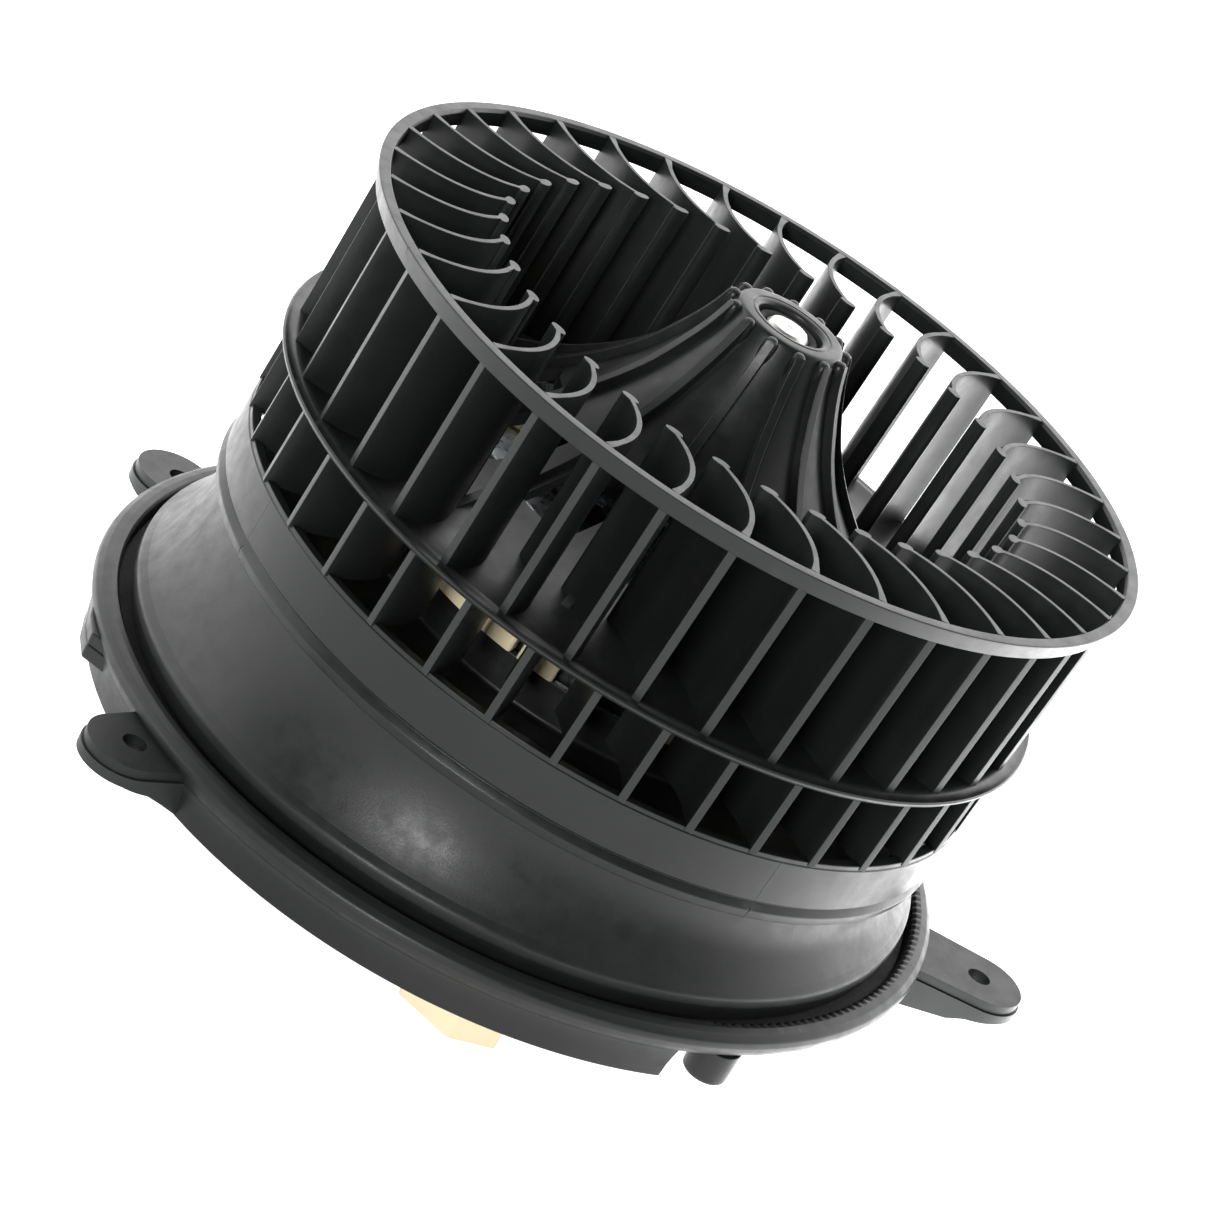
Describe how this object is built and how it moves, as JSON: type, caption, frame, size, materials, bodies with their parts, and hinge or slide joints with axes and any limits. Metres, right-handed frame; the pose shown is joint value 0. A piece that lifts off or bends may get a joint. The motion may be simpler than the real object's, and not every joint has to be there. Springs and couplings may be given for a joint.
{
  "type": "blower motor wheel",
  "caption": "Interior blower: moulded cage wheel with a ribbed trumpet hub on a brushed DC motor, held in a round housing with a leaning flange, screw ears and a plug socket.",
  "frame": {"origin": "centre of the flat end of the motor's rear cap", "axes": "+Z along the shaft, from the rear cap to the wheel's open end; +X points close to the widest-set ear"},
  "size_m": [0.1839, 0.1599, 0.11],
  "materials": {
    "wheel_plastic": "satin moulded",
    "housing_plastic": "satin moulded",
    "cream_plastic": "satin moulded",
    "zinc_steel": "bright zinc",
    "shaft_steel": "ground",
    "laminated_steel": "stacked sheet",
    "copper": "enamelled",
    "bronze": "sintered",
    "brass": "stamped",
    "ferrite": "sintered",
    "carbon": "pressed",
    "rubber": "soft matt"
  },
  "bodies": {
    "housing": {"motor_can": "zinc_steel", "motor_rear_cap": "zinc_steel", "upper_bearing": "bronze", "lower_bearing": "bronze", "upper_bearing_retainer": "zinc_steel", "magnet_1": "ferrite", "magnet_2": "ferrite", "magnet_clip_1": "zinc_steel", "magnet_clip_2": "zinc_steel", "brush_card": "cream_plastic", "brush_holder_1": "brass", "brush_spring_1": "shaft_steel", "brush_holder_2": "brass", "brush_spring_2": "shaft_steel", "choke_1": "copper", "choke_2": "copper", "thermal_cutout": "zinc_steel", "drum_shell": "housing_plastic", "motor_collar": "housing_plastic", "motor_carrier": "housing_plastic", "terminal_carrier": "cream_plastic", "can_damping_ring": "rubber", "rear_damping_ring": "rubber", "cover_screw_1": "shaft_steel", "cover_screw_2": "shaft_steel", "cover_screw_3": "shaft_steel", "flange_ring": "housing_plastic", "isolating_ring": "rubber", "lower_cover": "housing_plastic", "connector_housing": "cream_plastic", "terminal_blade_1": "brass", "terminal_blade_2": "brass"},
    "rotor": {"wheel_hub": "wheel_plastic", "upper_cage": "wheel_plastic", "lower_cage": "wheel_plastic", "hub_insert": "rubber", "motor_shaft": "shaft_steel", "armature_core": "laminated_steel", "armature_windings": "copper", "commutator": "copper", "thrust_washer_upper": "rubber", "thrust_washer_lower": "rubber"},
    "brush_1": {"carbon_brush_1": "carbon"},
    "brush_2": {"carbon_brush_2": "carbon"}
  },
  "joints": [
    {"name": "wheel_spin", "type": "hinge", "parent": "housing", "child": "rotor", "pos_m": [0, 0, 0.05], "axis": [0, 0, 1], "continuous": true},
    {"name": "brush_1_slide", "type": "slide", "parent": "housing", "child": "brush_1", "axis": [1, 0, 0], "range_m": [0, 0.003], "stiffness_N_per_m": 100, "springref_m": -0.004, "deforming": ["brush_spring_1"]},
    {"name": "brush_2_slide", "type": "slide", "parent": "housing", "child": "brush_2", "axis": [-1, 0, 0], "range_m": [0, 0.003], "stiffness_N_per_m": 100, "springref_m": -0.004, "deforming": ["brush_spring_2"]}
  ]
}
